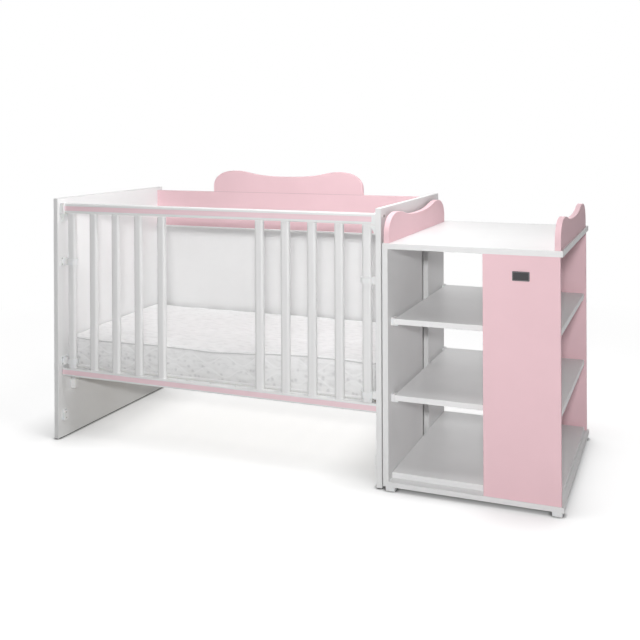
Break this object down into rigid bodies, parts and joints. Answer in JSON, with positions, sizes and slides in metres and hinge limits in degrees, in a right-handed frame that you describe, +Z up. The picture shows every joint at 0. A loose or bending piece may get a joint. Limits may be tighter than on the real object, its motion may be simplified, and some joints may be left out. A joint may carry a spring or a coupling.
{
  "type": "convertible crib",
  "caption": "Convertible crib: slatted drop gate, mattress on a slatted base and eared headboard crest, joined to an open changing cabinet with shelves and eared guards.",
  "frame": {"origin": "on the floor, at the middle of the whole footprint", "axes": "+X along the length towards the changing cabinet, +Y from the gate to the back, +Z up"},
  "size_m": [1.838, 0.744, 0.968],
  "materials": {
    "white_board": "white melamine face, satin",
    "pink_board": "pink melamine face, satin",
    "white_lacquer": "white lacquer, satin",
    "pink_inlay": "pink strip, satin",
    "white_plastic": "moulded, satin",
    "zinc_steel": "zinc plated",
    "bare_wood": "sanded, unlacquered",
    "mattress_cover": "quilted woven cover",
    "grey_plate": "plain satin plate"
  },
  "bodies": {
    "frame": {"left_end_panel": "white_board", "right_end_panel": "white_board", "back_panel": "white_board", "back_ledge_strip": "white_board", "cabinet_top": "white_board", "cabinet_base": "white_board", "cabinet_left_front_panel": "white_board", "cabinet_left_rear_panel": "white_board", "cabinet_lower_shelf": "white_board", "cabinet_upper_shelf": "white_board", "cabinet_bottom_shelf": "white_board", "back_rail_board": "pink_board", "headboard_crest": "pink_board", "guard_left": "pink_board", "guard_right": "pink_board", "cabinet_front_panel": "pink_board", "cabinet_back_panel": "pink_board", "gate_mid_guide_left": "white_plastic", "gate_mid_guide_right": "white_plastic", "gate_low_guide_left": "white_plastic", "gate_low_guide_right": "white_plastic", "gate_stop_left": "white_plastic", "gate_stop_right": "white_plastic", "base_supports": "white_plastic", "shelf_clips": "white_plastic", "cabinet_feet": "white_plastic", "end_panel_glides": "white_plastic", "screw_cover_caps": "white_plastic", "link_spacers": "white_plastic", "frame_screws": "zinc_steel", "bracket_screws": "zinc_steel", "shelf_clip_screws": "zinc_steel", "cabinet_cam_bolts": "zinc_steel", "cabinet_cam_locks": "zinc_steel", "cabinet_base_screws": "zinc_steel", "link_bolts": "zinc_steel", "link_nuts": "zinc_steel", "base_rail_front": "bare_wood", "base_rail_rear": "bare_wood", "base_slats": "bare_wood", "board_dowels": "bare_wood", "blank_plate": "grey_plate"},
    "gate": {"gate_top_rail": "white_lacquer", "gate_top_inlay": "pink_inlay", "gate_bottom_rail": "white_lacquer", "gate_bottom_inlay": "pink_inlay", "gate_end_cap_left": "white_plastic", "gate_end_cap_right": "white_plastic", "gate_slat_01": "white_lacquer", "gate_slat_02": "white_lacquer", "gate_slat_03": "white_lacquer", "gate_slat_04": "white_lacquer", "gate_slat_05": "white_lacquer", "gate_slat_06": "white_lacquer", "gate_slat_07": "white_lacquer", "gate_slat_08": "white_lacquer", "gate_slat_09": "white_lacquer", "gate_slat_10": "white_lacquer"},
    "mattress": {"mattress": "mattress_cover"}
  },
  "joints": [
    {"name": "gate_drop", "type": "slide", "parent": "frame", "child": "gate", "axis": [0, 0, 1], "range_m": [-0.128, 0]},
    {"name": "mattress_lift", "type": "slide", "parent": "frame", "child": "mattress", "axis": [0, 0, 1], "range_m": [0, 0.62]}
  ]
}
